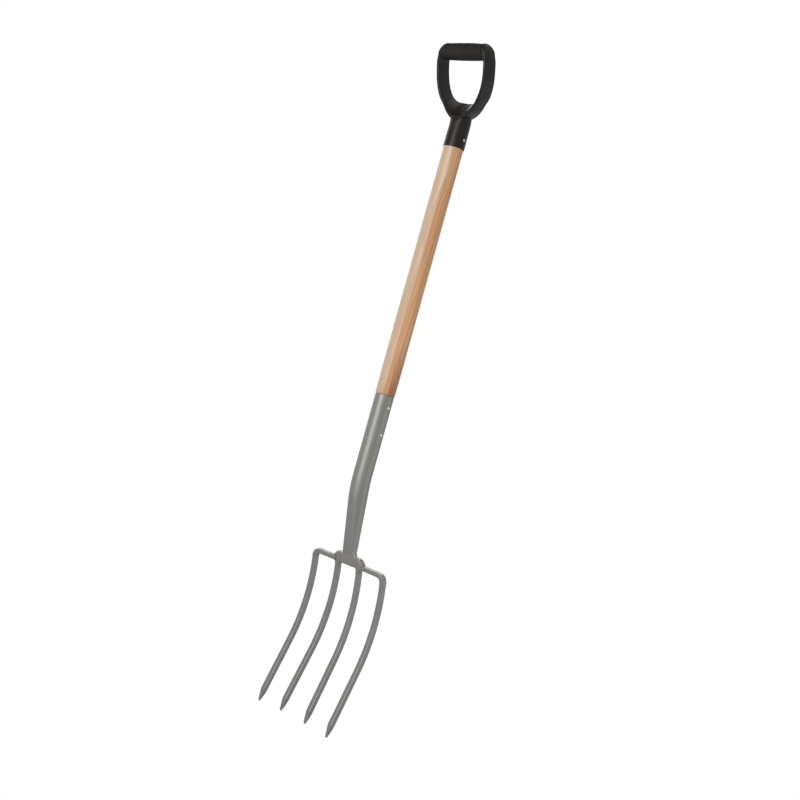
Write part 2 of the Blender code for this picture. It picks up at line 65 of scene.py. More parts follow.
# How deep the steel's unevenness is, and how long
FORGING_UNEVEN = (0.16, 14.0)
TUBE_UNEVEN = (0.03, 30.0)
ARM_BEAD_UNEVEN = (0.1, 5.0)
FOOT_BEAD_UNEVEN = (0.08, 5.0)
DROP_UNEVEN = (0.15, 1.5)

# Wooden shaft
SHAFT_DIAMETER = 36.1
SHAFT_EXPOSED = 456.5
SHAFT_END_EASE = 0.35
SHAFT_EASE_LENGTH = 30.0
SHAFT_EDGE_ROUND = 1.0
SHAFT_EDGE_MIDDLE = 0.3
TENON_CHAMFER = 1.5
SOCKET_TENON_LENGTH = 138.0
GRIP_TENON_LENGTH = 45.0

# Steel socket
SOCKET_DIAMETER = 34.3
SOCKET_WALL = 1.8
SOCKET_RIM_HEIGHT = 309.5
SOCKET_BEND_START = 165.0
SOCKET_BEND_RADIUS = 265.0
SOCKET_LEAN = math.radians(10.1)
TAPER_START = 122.0
FOOT_START = 26.0
FOOT_WIDTH = 24.0
FOOT_DEPTH = 16.6
FOOT_CORNER = 2.6
FOOT_END_FRONT = 7.4
FOOT_END_BACK = 6.2
FOOT_SWELL_FRONT = 0.8
FOOT_SWELL_BACK = 0.2

# Rivets
RIVET_HEAD = 6.2
RIVET_DOME = 1.5
RIVET_SEAT_GAP = 0.09
RIVET_SHANK_SHARE = 0.7
RIVET_UNDERCUT = 0.3
SOCKET_RIVETS_BELOW_RIM = (21.5, 71.5)
GRIP_RIVET_ABOVE_RIM = 16.0

# Tines
TINE_BAR = 10.0
TINE_CORNER = 2.5
TINE_LEAN_TOP = math.radians(14.9)
TINE_LEAN_TIP = math.radians(-16.9)
TINE_BEND_RADIUS = 317.0
INNER_TINE = {"place": 26.9, "splay": 5.3, "length": 294.0}
OUTER_TINE = {"place": 87.65, "splay": 2.5, "length": 296.5}
TIP_FRONT_TAPER = 22.0
TIP_BACK_TAPER = 12.0
TIP_WIDTH = 4.0
TIP_DEPTH = 4.0
TIP_SET_IN = 1.3
TIP_BLUNT = 0.6

# Yoke and arms
YOKE_TOP = 17.0
YOKE_UNDERSIDE = 2.3
YOKE_FRONT = 6.0
YOKE_BACK = 3.8
YOKE_SETBACK = 1.0
YOKE_SHOULDER = 9.0
YOKE_REACH = 1.5
YOKE_CROTCH = 4.0
PAD_HALF = 13.0
PAD_FRONT = 7.4
PAD_UNDERSIDE = 1.2
PAD_CORNER = 0.6
ARM_TOP = 5.1
ARM_UNDERSIDE = 2.8
ARM_CORNER = 1.6
ARM_OUTER_BEND = 15.5
ARM_INNER_BEND = 8.0

# Weld beads
ARM_BEAD_LENGTH = 5.4
ARM_BEAD_RISE = 9.3
ARM_BEAD_DROP = 2.0
FOOT_BEAD_LENGTH = 4.0
FOOT_BEAD_LEG = 1.8
FOOT_BEAD_SUNK = 2.4
FOOT_FILLET = 9.0
FOOT_FILLET_HOLLOW = 1.8
FOOT_BEAD_PROUD = 0.4
BEAD_CROWN = 0.9
BEAD_SKIN_SHARE = 0.75
BEAD_HOLLOW = 1.1
FUSED = 0.25
BEAD_SUNK = 2.6

# Weld drops beside the socket's foot: across, down, forward and the radius
WELD_DROPS = (
    (12.5, -23.6, 4.5, 0.9),
    (14.0, -17.9, 2.8, 1.6),
    (17.0, -17.0, 3.0, 0.9),
)

# D-grip
COLLAR_RIM_DIAMETER = 38.8
COLLAR_NECK_DIAMETER = 38.0
COLLAR_WALL = 2.85
COLLAR_STRAIGHT = 41.0
COLLAR_RIM_EASE = 0.8
COLLAR_TOP_COVER = 6.7
COLLAR_TOP_FORWARD = 6.6
COLLAR_TOP_WIDER = 1.0
COLLAR_TOP_SHALLOWER = 0.8
GRIP_PIVOT = 69.0
GRIP_LEAN = math.radians(20.0)
STRAP_TOP_DEPTH = 30.0
STRAP_DEPTH = 32.4
STRAP_EDGE = 3.0
STRAP_TOP_SOFTER = 2.5
STRAP_THICKNESS = 6.5
STRAP_DOME_TURN = math.radians(88.0)
THROAT_FALL = math.radians(29.0)
THROAT_HEIGHT = 21.8
THROAT_EXTRA_DEPTH = 3.0
BAR_PLACE = 101.9
BAR_DIAMETER = 30.7
BAR_END_DIAMETER = 28.6
BAR_CORE_DIAMETER = 14.0
BAR_FULLNESS = 2.4
BAR_BARREL_SHARE = 0.975
BAR_EDGE_SHARE = 0.99
BAR_EDGE_EASE = 0.35
BAR_EDGE_DROP = 1.2
BAR_BLENDED_FROM = 0.72
BAR_BLENDED_DIAMETER = 30.0
BAR_BLENDED_REACH = 3.2
STRAP_TOP_DIAMETER = 30.2
GRIP_OPENING_HALF = 51.2
GRIP_OPENING_TOP = 85.0
OPENING_BOTTOM = 5.0
OPENING_FLARE = 5.0
OPENING_FULLNESS = 2.55
STRAP_TOP_INSET = 11.8
STRAP_TOP_CORNER = 12.8
STRAP_TOP_CURVE = 2.5

# Where the strap changes round the opening, in degrees from its side at 0 to its bottom at 90
STRAP_WIDENS = (0.0, 30.0)
THROAT_SLOPES = (25.0, 80.0)
THROAT_THICKENS = (42.0, 90.0)
THROAT_THICKENING = 1.45
THROAT_DEEPENS = (50.0, 90.0)
THROAT_DEEPENING = 1.2

# Painted shade and light on the steel, each with a slight tint: the tines darkened, the head lightened and
# the socket a little lightened, and the heights in metres where they change
TINES_PAINTED_SHADE_TINT = (0.939, 0.911, 0.893)
HEAD_PAINTED_LIGHT_TINT = (1.086, 1.054, 1.033)
SOCKET_PAINTED_LIGHT_TINT = (1.02, 1.035, 0.99)
TINES_TO_HEAD = (0.14, 0.3)
HEAD_TO_SOCKET = (0.34, 0.48)

# Wood's figure, in metres across the grain and up the shaft, and its colours
GRAIN_HEADING = math.radians(42.0)
GRAIN_WANDER = 0.032
RING_RATE = 1150.0
HEART_EDGE = (0.0115, 0.0185)
SEAM_START = (0.0105, 0.0135)
SEAM_END = (0.0145, 0.0175)
STAIN_EDGE = (0.004, 0.009)
STAIN_TOP = (0.61, 0.7)
SAP_PALE = (0.54, 0.405, 0.275)
SAP_ROSY = (0.54, 0.355, 0.22)
HEART_TAN = (0.64, 0.355, 0.17)
HEART_BROWN = (0.5, 0.245, 0.105)
SEAM_BROWN = (0.36, 0.18, 0.08)
LATE_WOOD = (0.36, 0.165, 0.065)
STAIN_BROWN = (0.29, 0.098, 0.028)
PORE_BROWN = (0.28, 0.14, 0.065)

# Camera and studio
CAMERA_FROM_HOME = Vector((1.5257, -1.6522, 0.3078))
CAMERA_HEADING = math.radians(42.0)
CAMERA_ROLL = math.radians(15.54)
CAMERA_LENS = 56.7
DARK_CORNER = (-102.0, 47.0)
DARK_CORNER_REACH = (0.45, 0.95)
WORLD_STRENGTH = 0.58
DARK_CORNER_STRENGTH = 0.1
DIMMER_BELOW = (-0.7, 0.1)
DIMMER_SHARE = 0.8
FORK_MIDDLE = (0.0, 0.0, 0.6)
COLLAR_LEVEL = (0.0, 0.0, 1.1)
GRIP_LEVEL = (0.0, 0.0, 1.2)
ROOM_RADIUS = 9.0

# Where the modelling space lies in the frame: the shaft's line and the socket's rim are found on the nodes
shaft_low, shaft_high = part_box("shaft")
HOME = Vector((0.0, (shaft_low.y + shaft_high.y) / 2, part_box("socket")[1].z - SOCKET_RIM_HEIGHT * MM))


class Signal:
    """A node's output, which can be added to a value or another signal and multiplied by one."""

    def __init__(self, pattern, socket):
        self.pattern = pattern
        self.socket = socket

    def _maths(self, operation, first, second):
        return self.pattern.node("ShaderNodeMath", {"operation": operation}, {0: first, 1: second})

    def __add__(self, other):
        return self._maths("ADD", self, other)

    def __radd__(self, other):
        return self._maths("ADD", other, self)

    def __mul__(self, other):
        return self._maths("MULTIPLY", self, other)


class Pattern:
    """Nodes added to a tree, and the values that they give."""

    def __init__(self, tree):
        self.tree = tree

    def node(self, kind, settings=None, inputs=None, output=0):
        """Adds a node of any kind, with its settings made before its sockets are filled."""
        made = self.tree.nodes.new(kind)
        for setting, value in (settings or {}).items():
            setattr(made, setting, value)
        for socket, value in (inputs or {}).items():
            self.fill(made.inputs[socket], value)
        return Signal(self, made.outputs[output])

    def fill(self, socket, value):
        """Links a signal to a socket, or sets the socket to a value."""
        if isinstance(value, Signal):
            self.tree.links.new(value.socket, socket)
        elif isinstance(value, tuple) and len(value) == 3 and socket.type == "RGBA":
            socket.default_value = (*value, 1.0)
        else:
            socket.default_value = value

    def place(self, scale=(1.0, 1.0, 1.0), turn=(0.0, 0.0, 0.0)):
        """Object coordinates, turned and stretched."""
        coordinates = self.node("ShaderNodeTexCoord", output="Object")
        inputs = {"Vector": coordinates, "Rotation": turn, "Scale": scale}
        return self.node("ShaderNodeMapping", inputs=inputs)

    def noise(self, place, scale, detail=2.0, roughness=0.5):
        """A cloudy value, from 0 to 1."""
        inputs = {"Vector": place, "Scale": scale, "Detail": detail, "Roughness": roughness}
        return self.node("ShaderNodeTexNoise", inputs=inputs, output="Fac")

    def spread(self, value, low, high, to_low=0.0, to_high=1.0):
        """A value spread from one range to another and kept inside it."""
        inputs = {"Value": value, 1: low, 2: high, 3: to_low, 4: to_high}
        return self.node("ShaderNodeMapRange", {"clamp": True}, inputs)

    def mix(self, first, second, factor, blend="MIX"):
        """Two colours mixed, or blended in another way."""
        settings = {"data_type": "RGBA", "blend_type": blend}
        return self.node("ShaderNodeMix", settings, {0: factor, 6: first, 7: second}, output=2)

    def part(self, vector, axis):
        """One part of a vector."""
        return self.node("ShaderNodeSeparateXYZ", inputs={0: vector}, output=axis)


class Finish(Pattern):
    """A material, and the nodes that make its pattern."""

    def __init__(self, name, **constants):
        self.material = bpy.data.materials.new(name)
        self.material.use_nodes = True
        super().__init__(self.material.node_tree)
        self.shader = self.tree.nodes["Principled BSDF"]
        for socket, value in constants.items():
            self.shader.inputs[socket.replace("_", " ")].default_value = value

    def bump(self, height, distance, strength):
        """Roughens the surface by a height."""
        inputs = {"Height": height, "Distance": distance, "Strength": strength}
        self.set("Normal", self.node("ShaderNodeBump", inputs=inputs))

    def set(self, socket, value):
        """Fills one of the shader's sockets."""
        self.fill(self.shader.inputs[socket], value)


def steel_finish(name, light, dark, roughness):
    """A grey powder coat on steel, with its faint orange peel and the unevenness of a forging, darkened on
    the tines and lightened on the head and socket as painted shade and light.
    """
    look = Finish(name, Metallic=0.5, Roughness=roughness)
    place = look.place()
    peel = look.noise(place, 620.0, 2.0, 0.55)
    cloud = look.noise(place, 38.0, 3.0, 0.6)
    speck = look.noise(place, 1500.0, 1.0)
    tone = look.spread(cloud * 0.7 + speck * 0.3, 0.32, 0.68)
    height = look.part(place, "Z")
    # Painted shade and light: the colour is multiplied by height, darker on the tines, lighter on the head
    # and a little lighter on the socket
    lower_painted_light = look.mix(TINES_PAINTED_SHADE_TINT, HEAD_PAINTED_LIGHT_TINT, look.spread(height, *TINES_TO_HEAD))
    painted_light_tint = look.mix(lower_painted_light, SOCKET_PAINTED_LIGHT_TINT, look.spread(height, *HEAD_TO_SOCKET))
    look.set("Base Color", look.mix(look.mix(dark, light, tone), painted_light_tint, 1.0, "MULTIPLY"))
    look.set("Roughness", roughness - 0.05 + cloud * 0.1)
    look.bump(peel * 0.6 + cloud * 1.5, 0.0002, 0.2)
    return look.material


def wood_finish(name):
    """Ash under a satin lacquer, pale sapwood on the shaft's left and browner heartwood on its right."""
    look = Finish(name, Coat_Roughness=0.3, Coat_IOR=1.5)
    turned_place = look.place(turn=(0.0, 0.0, -GRAIN_HEADING))
    across = look.part(turned_place, "X")
    height = look.part(turned_place, "Z")
    wander = look.noise(look.place((16.0, 16.0, 6.5)), 1.0, 2.0)
    depth = across + wander * GRAIN_WANDER
    heart = look.spread(depth, *HEART_EDGE)
    growth = look.node("ShaderNodeMath", {"operation": "SINE"}, {0: depth * RING_RATE})
    band = look.spread(growth, 0.1, 1.0)
    streak = look.noise(look.place((150.0, 150.0, 3.2)), 1.0, 3.0, 0.6)
    pore = look.noise(look.place((900.0, 900.0, 14.0)), 1.0, 2.0, 0.6)
    blush = look.noise(look.place((70.0, 70.0, 9.0)), 1.0, 2.0)
    sap = look.mix(SAP_PALE, SAP_ROSY, look.spread(blush, 0.35, 0.65))
    brown = look.mix(HEART_TAN, HEART_BROWN, look.spread(streak, 0.42, 0.62))
    base = look.mix(sap, brown, heart * 0.94 + 0.06)
    seam = look.spread(depth, *SEAM_START) * look.spread(depth, *SEAM_END, 1.0, 0.0)
    edged = look.mix(base, SEAM_BROWN, seam * look.spread(streak, 0.35, 0.6, 0.15, 0.5))
    late = look.mix(edged, LATE_WOOD, band * (heart * 0.45 + 0.1))
    low = look.spread(height, *STAIN_TOP, 1.0, 0.0) * look.spread(across, *STAIN_EDGE)
    stain = low * look.spread(streak, 0.3, 0.55, 0.7, 0.95)
    stained = look.mix(late, STAIN_BROWN, stain)
    pored = look.mix(stained, PORE_BROWN, look.spread(pore, 0.6, 0.8) * (heart * 0.2 + 0.18))
    look.set("Base Color", pored)
    look.set("Roughness", 0.42 + streak * 0.12)
    look.set("Coat Weight", 0.35)
    look.bump(pore * 0.6 + growth * 0.15, 0.00008, 0.5)
    return look.material


def plastic_finish(name, colour, roughness):
    """Dark moulded plastic with a fine spark-eroded grain."""
    look = Finish(name, Specular_IOR_Level=0.27)
    place = look.place()
    grain = look.noise(place, 2400.0, 2.0, 0.6)
    cloud = look.noise(place, 60.0, 2.0)
    lighter = tuple(part * 1.35 for part in colour)
    look.set("Base Color", look.mix(colour, lighter, look.spread(cloud, 0.35, 0.65)))
    look.set("Roughness", roughness - 0.04 + cloud * 0.08)
    look.bump(grain + cloud * 0.5, 0.00006, 0.4)
    return look.material


def rivet_finish(name, light, dark):
    """Bright peened rivet heads."""
    look = Finish(name, Metallic=1.0)
    place = look.place()
    dents = look.noise(place, 900.0, 2.0)
    look.set("Base Color", look.mix(dark, light, dents))
    look.set("Roughness", 0.3 + dents * 0.16)
    look.bump(dents, 0.0002, 0.4)
    return look.material


def sweep(sides, sections):
    """A disc extruded from section to section. A section gives a point for each turn round it."""
    bm = bmesh.new()
    turn_of = bm.verts.layers.float.new("turn")
    half_step = Matrix.Rotation(math.pi / sides, 4, "Z")
    bmesh.ops.create_circle(bm, cap_ends=True, segments=sides, radius=1.0, matrix=half_step)
    for vert in bm.verts:
        vert[turn_of] = math.atan2(vert.co.y, vert.co.x)
    cap = next(iter(bm.faces))
    for number, section in enumerate(sections):
        if number:
            grown = bmesh.ops.extrude_face_region(bm, geom=[cap, *cap.edges])["geom"]
            cap = next(item for item in grown if isinstance(item, bmesh.types.BMFace))
        for vert in cap.verts:
            vert.co = section(vert[turn_of])
    bmesh.ops.recalc_face_normals(bm, faces=bm.faces)
    return bm


def closed_sweep(sides, sections):
    """A sweep whose last section joins its first."""
    bm = sweep(sides, sections)
    caps = sorted(bm.faces, key=lambda face: len(face.verts))[-2:]
    edges = [edge for cap in caps for edge in cap.edges]
    bmesh.ops.delete(bm, geom=caps, context="FACES_ONLY")
    bmesh.ops.bridge_loops(bm, edges=edges)
    bmesh.ops.recalc_face_normals(bm, faces=bm.faces)
    return bm


def corners_spread(turn, half_wide, half_deep, radius):
    """Where a turn round a circle goes when the circle's quarters are moved out to a rectangle's corners."""
    radius = min(radius, half_wide, half_deep)
    along, off = math.cos(turn), math.sin(turn)
    return (
        radius * along + math.copysign(half_wide - radius, along),
        radius * off + math.copysign(half_deep - radius, off),
    )


def bar_section(outer, inner, front, back, radius):
    """A section of a bar between two points laid out flat, from its front face to its back face."""
    outer, inner = Vector(outer), Vector(inner)
    middle = (outer + inner) / 2
    side = (outer - inner).normalized()
    half = (outer - inner).length / 2

    def point(turn):
        along, off = corners_spread(turn, half, (front - back) / 2, radius)
        place = middle + side * along
        return Vector((place.x, place.y, (front + back) / 2 + off))

    return point


def doubled(bm):
    """A sweep of one half made whole by its own mirror image, joined in the fork's middle."""
    seam = [face for face in bm.faces if all(abs(vert.co.x) < 0.05 for vert in face.verts)]
    bmesh.ops.delete(bm, geom=seam, context="FACES_ONLY")
    bmesh.ops.mirror(bm, geom=bm.verts[:] + bm.edges[:] + bm.faces[:], axis="X", merge_dist=0.001)
    bmesh.ops.recalc_face_normals(bm, faces=bm.faces)
    return bm


def flipped(bm):
    """A right-hand mesh turned into the left-hand one."""
    bmesh.ops.scale(bm, vec=(-1.0, 1.0, 1.0), verts=bm.verts)
    bmesh.ops.reverse_faces(bm, faces=bm.faces)
    return bm


def roughened(bm, depth, length):
    """Moves a surface in and out a little, as forged and welded steel is uneven."""
    bm.normal_update()
    moves = [noise.noise(vert.co / length) * depth * vert.normal for vert in bm.verts]
    for vert, move in zip(bm.verts, moves):
        vert.co += move
    return bm


def piece(name, bm, look, slot, *nodes):
    """Puts a finished mesh in its place, its faces outwards, where it stands for any nodes it replaces."""
    if bm.calc_volume(signed=True) < 0:
        bmesh.ops.reverse_faces(bm, faces=bm.faces)
    bm.transform(Matrix.Translation(HOME) @ Matrix.Scale(MM, 4))
    mesh = bpy.data.meshes.new(name)
    bm.to_mesh(mesh)
    bm.free()
    mesh.materials.append(look)
    mesh.shade_smooth()
    mesh.set_sharp_from_angle(angle=math.radians(38))
    made = bpy.data.objects.new(name, mesh)
    bpy.context.scene.collection.objects.link(made)
    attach(made, "root")
    if nodes:
        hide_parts(*nodes)


def socket_axis(height):
    """How far back the socket's centre line is at a height, and its lean there."""
    bend_end = SOCKET_BEND_START - SOCKET_BEND_RADIUS * math.sin(SOCKET_LEAN)
    if height >= SOCKET_BEND_START:
        return 0.0, 0.0
    if height > bend_end:
        lean = math.asin((SOCKET_BEND_START - height) / SOCKET_BEND_RADIUS)
        return SOCKET_BEND_RADIUS * (1 - math.cos(lean)), lean
    set_back = SOCKET_BEND_RADIUS * (1 - math.cos(SOCKET_LEAN))
    return set_back + (bend_end - height) * math.tan(SOCKET_LEAN), SOCKET_LEAN


HEAD_BACK = (
    socket_axis(YOKE_TOP * math.cos(TINE_LEAN_TOP))[0]
    + YOKE_SETBACK
    + YOKE_TOP * math.sin(TINE_LEAN_TOP)
)
YOKE_HALF = INNER_TINE["place"] + TINE_BAR / 2
CROTCH_END = YOKE_UNDERSIDE + 2 * YOKE_CROTCH
BEND_LENGTH = TINE_BEND_RADIUS * (TINE_LEAN_TOP - TINE_LEAN_TIP)


def head_point(across, down, front):
    """The place in space of a point laid out flat: across the fork, down the tines and off their line."""
    bent = min(max(down, 0.0), BEND_LENGTH)
    lean = TINE_LEAN_TOP - bent / TINE_BEND_RADIUS
    back = HEAD_BACK + TINE_BEND_RADIUS * (math.cos(lean) - math.cos(TINE_LEAN_TOP))
    height = -TINE_BEND_RADIUS * (math.sin(TINE_LEAN_TOP) - math.sin(lean))
    straight = down - bent
    back += straight * math.sin(lean) - front * math.cos(lean)
    height += -straight * math.cos(lean) - front * math.sin(lean)
    return Vector((across, back, height))


def bent(bm):
    """Bends a head piece that was modelled flat."""
    for vert in bm.verts:
        vert.co = head_point(*vert.co)
    bmesh.ops.recalc_face_normals(bm, faces=bm.faces)
    return bm


def steps_between(start, end, length):
    """Places from a start to an end, both included, no further apart than a length."""
    count = max(1, math.ceil(abs(end - start) / length))
    return [start + (end - start) * step / count for step in range(count + 1)]


def tine_sections(place, splay, length, start):
    """Sections of a tine from where it leaves the arm or the yoke down to its point."""
    half = TINE_BAR / 2
    tip_back = TIP_SET_IN - half
    tip_front = tip_back + TIP_DEPTH
    sections = []
    for down in steps_between(start, length - TIP_FRONT_TAPER, SECTION_STEP)[:-1]:
        middle = place + splay * down / length
        ends = (middle + half, down), (middle - half, down)
        sections.append(bar_section(*ends, half, -half, TINE_CORNER))
    for left in steps_between(TIP_FRONT_TAPER, TIP_BLUNT, TIP_STEP) + [TIP_BLUNT * 0.3, 0.0]:
        front_share = left / TIP_FRONT_TAPER
        back_share = min(1.0, left / TIP_BACK_TAPER)
        blunt = max(0.0, TIP_BLUNT - left)
        wide = (TIP_WIDTH + (TINE_BAR - TIP_WIDTH) * front_share**0.8) / 2 - blunt
        back = tip_back - TIP_SET_IN * back_share + blunt
        front = tip_front + (half - tip_front) * front_share - blunt
        down = length - left
        middle = place + splay * down / length
        ends = (middle + wide, down), (middle - wide, down)
        sections.append(bar_section(*ends, front, back, TINE_CORNER))
    return sections


def corner_sections(outer, inner, outer_radius, inner_radius, fronts, backs, radius, steps):
    """Sections round a square bend from level to upright, about an outer and an inner centre.

    The front and the back face each move from their first place to their last.
    """
    sections = []
    for step in range(steps + 1):
        share = step / steps
        angle = math.pi / 2 * (1 - share)
        turn = Vector((math.cos(angle), -math.sin(angle)))
        ends = Vector(outer) + turn * outer_radius, Vector(inner) + turn * inner_radius
        front = fronts[0] + (fronts[1] - fronts[0]) * share
        back = backs[0] + (backs[1] - backs[0]) * share
        sections.append(bar_section(*ends, front, back, radius))
    return sections


def centre_fork():
    """Half the yoke and one inner tine, then both. The pad in the yoke's middle carries the socket."""
    shoulder = YOKE_HALF + YOKE_REACH - YOKE_SHOULDER
    crotch = YOKE_HALF - TINE_BAR - YOKE_CROTCH
    half = TINE_BAR / 2
    sections = []
    for across in (0.0, PAD_HALF * 0.5):
        ends = (across, -YOKE_TOP), (across, PAD_UNDERSIDE)
        sections.append(bar_section(*ends, PAD_FRONT, -YOKE_BACK, PAD_CORNER))
    for step in range(8):
        share = step / 8
        eased = share * share * (3 - 2 * share)
        top = PAD_HALF + (shoulder - PAD_HALF) * share, -YOKE_TOP
        low = PAD_HALF + (crotch - PAD_HALF) * share
        low = low, PAD_UNDERSIDE + (YOKE_UNDERSIDE - PAD_UNDERSIDE) * eased
        front = PAD_FRONT + (YOKE_FRONT - PAD_FRONT) * eased
        corner = PAD_CORNER + (TINE_CORNER - PAD_CORNER) * eased
        sections.append(bar_section(top, low, front, -YOKE_BACK, corner))
    sections += corner_sections(
        (shoulder, YOKE_SHOULDER - YOKE_TOP),
        (crotch, YOKE_UNDERSIDE + YOKE_CROTCH),
        YOKE_SHOULDER,
        YOKE_CROTCH,
        (YOKE_FRONT, half),
        (-YOKE_BACK, -half),
        TINE_CORNER,
        20,
    )
    sections += tine_sections(start=CROTCH_END, **INNER_TINE)
    return roughened(bent(doubled(sweep(BAR_SIDES, sections))), *FORGING_UNEVEN)


def outer_tine():
    """An arm from the yoke's side that bends down into an outer tine."""
    half = TINE_BAR / 2
    bend_place = OUTER_TINE["place"] + half - ARM_OUTER_BEND
    sections = []
    for across in steps_between(YOKE_HALF + YOKE_REACH + GAP, bend_place, SECTION_STEP)[:-1]:
        ends = (across, -ARM_TOP), (across, ARM_UNDERSIDE)
        sections.append(bar_section(*ends, half, -half, ARM_CORNER))
    sections += corner_sections(
        (bend_place, ARM_OUTER_BEND - ARM_TOP),
        (OUTER_TINE["place"] - half - ARM_INNER_BEND, ARM_UNDERSIDE + ARM_INNER_BEND),
        ARM_OUTER_BEND,
        ARM_INNER_BEND,
        (half, half),
        (-half, -half),
        ARM_CORNER,
        24,
    )
    sections += tine_sections(start=1.2 * ARM_OUTER_BEND - ARM_TOP, **OUTER_TINE)
    return roughened(bent(sweep(BAR_SIDES, sections)), *FORGING_UNEVEN)


def yoke_side(down):
    """How far out the yoke's side is at a distance down the tines' line."""
    below_shoulder = down - YOKE_SHOULDER + YOKE_TOP
    if below_shoulder > 0:
        drawn_in = below_shoulder / (CROTCH_END - YOKE_SHOULDER + YOKE_TOP)
        return YOKE_HALF + YOKE_REACH * (1 - drawn_in)
    curve = math.sqrt(max(0.0, YOKE_SHOULDER**2 - below_shoulder**2))
    return YOKE_HALF + YOKE_REACH - YOKE_SHOULDER + curve


def ramp(value, low, high):
    """How far a value is on the way from a low to a high one, from 0 to 1."""
    return min(1.0, max(0.0, (value - low) / (high - low)))


def bead_profile(turn, level):
    """How far out and how high up a bead's skin is, both from 0 to 1. It stays level at first."""
    share = (turn / math.tau) % 1.0
    if share < BEAD_SKIN_SHARE:
        out = share / BEAD_SKIN_SHARE
        return out, 1 - ramp(out, level, 1.0) ** BEAD_HOLLOW
    return (1 - share) / (1 - BEAD_SKIN_SHARE), 0.0


def arm_weld():
    """A bead round an arm, fused to it and to the yoke, and built up to a shoulder on top."""
    sections = []
    for step in range(ARM_BEAD_ROUNDS):
        way = math.tau * (step + 0.5) / ARM_BEAD_ROUNDS

        def point(turn, way=way):
            out, high = bead_profile(turn, 0.0)
            top = -ARM_TOP + FUSED - (ARM_BEAD_RISE + FUSED) * high
            low = ARM_UNDERSIDE - FUSED + (ARM_BEAD_DROP + FUSED) * high
            deep = TINE_BAR / 2 - FUSED + (BEAD_CROWN + FUSED) * high
            off, front = corners_spread(way, (low - top) / 2, deep, ARM_CORNER + BEAD_CROWN * high)
            down = (top + low) / 2 - off
            across = yoke_side(down) - BEAD_SUNK + (ARM_BEAD_LENGTH + BEAD_SUNK) * out
            return Vector((across, down, front))

        sections.append(point)
    return roughened(bent(closed_sweep(ARM_BEAD_SIDES, sections)), *ARM_BEAD_UNEVEN)


def foot_point(turn, above, around=0.0, ahead=0.0):
    """A point of the socket's foot above the yoke, or of what lies round it and ahead of it."""
    share = min(1.0, above / FOOT_BEAD_LENGTH)
    front = FOOT_END_FRONT + FOOT_SWELL_FRONT * share + ahead
    back = FOOT_END_BACK + FOOT_SWELL_BACK * share + around
    across, off = corners_spread(
        turn, FOOT_WIDTH / 2 + around, (front + back) / 2, FOOT_CORNER + around
    )
    return head_point(across, -YOKE_TOP - GAP - above, (front - back) / 2 + off)


def socket_point(turn, height, inset):
    """A point of the socket at a height on its centre line."""
    share = min(1.0, max(0.0, (TAPER_START - height) / (TAPER_START - FOOT_START)))
    round_half = SOCKET_DIAMETER / 2
    wide = round_half + (FOOT_WIDTH / 2 - round_half) * share - inset
    deep = round_half + (FOOT_DEPTH / 2 - round_half) * share - inset
    corner = round_half + (FOOT_CORNER - round_half) * share - inset
    back, lean = socket_axis(height)
    across, front = corners_spread(turn, wide, deep, max(corner, 0.5))
    return Vector((across, back - front * math.cos(lean), height - front * math.sin(lean)))


def socket():
    """A tube with a rounded lip at its rim, bent back and flattened to its foot."""
    rim = SOCKET_RIM_HEIGHT
    ease = SOCKET_WALL / 2
    outside = [(0.0, 0.0, True), (FOOT_BEAD_LENGTH, 0.0, True)]
    heights = steps_between(FOOT_START, TAPER_START - SECTION_STEP, SECTION_STEP)
    heights += steps_between(TAPER_START, SOCKET_BEND_START, SECTION_STEP)
    heights += steps_between(SOCKET_BEND_START + SECTION_STEP, rim - ease, 2 * SECTION_STEP)
    outside += [(height, 0.0, False) for height in heights]
    for step in range(1, 8):
        angle = math.pi * step / 8
        outside.append((rim - ease + ease * math.sin(angle), ease - ease * math.cos(angle), False))
    inside = [(height, SOCKET_WALL, False) for height in reversed(heights)]

    def section(height, inset, foot):
        if foot:
            return lambda turn: foot_point(turn, height)
        return lambda turn: socket_point(turn, height, inset)

    return roughened(sweep(ROUND_SIDES, [section(*station) for station in outside + inside]), *TUBE_UNEVEN)


def socket_weld():
    """The bead round the socket's foot, ground flush at the front."""
    sections = []
    for step in range(FOOT_BEAD_ROUNDS):
        way = math.tau * (step + 0.5) / FOOT_BEAD_ROUNDS

        def point(turn, way=way):
            up, out = bead_profile(turn, FOOT_BEAD_SUNK / (FOOT_FILLET + FOOT_BEAD_SUNK))
            above = (FOOT_FILLET + FOOT_BEAD_SUNK) * up - FOOT_BEAD_SUNK
            out = out**FOOT_FILLET_HOLLOW
            around = (FOOT_BEAD_LEG + FUSED) * out - FUSED
            return foot_point(way, above, around, FOOT_BEAD_PROUD * out - FUSED)

        sections.append(point)
    return roughened(closed_sweep(FOOT_BEAD_SIDES, sections), *FOOT_BEAD_UNEVEN)


def spatter():
    """Drops of weld metal on the right side of the socket's foot."""
    bm = bmesh.new()
    for across, down, front, radius in WELD_DROPS:
        place = Matrix.Translation(head_point(across, down, front))
        bmesh.ops.create_icosphere(bm, subdivisions=3, radius=radius, matrix=place)
    return roughened(bm, *DROP_UNEVEN)


def turned(sides, profile):
    """A solid turned about the Z axis from heights and radii."""

    def ring(height, radius):
        return lambda turn: Vector((radius * math.cos(turn), radius * math.sin(turn), height))

    return sweep(sides, [ring(*place) for place in profile])


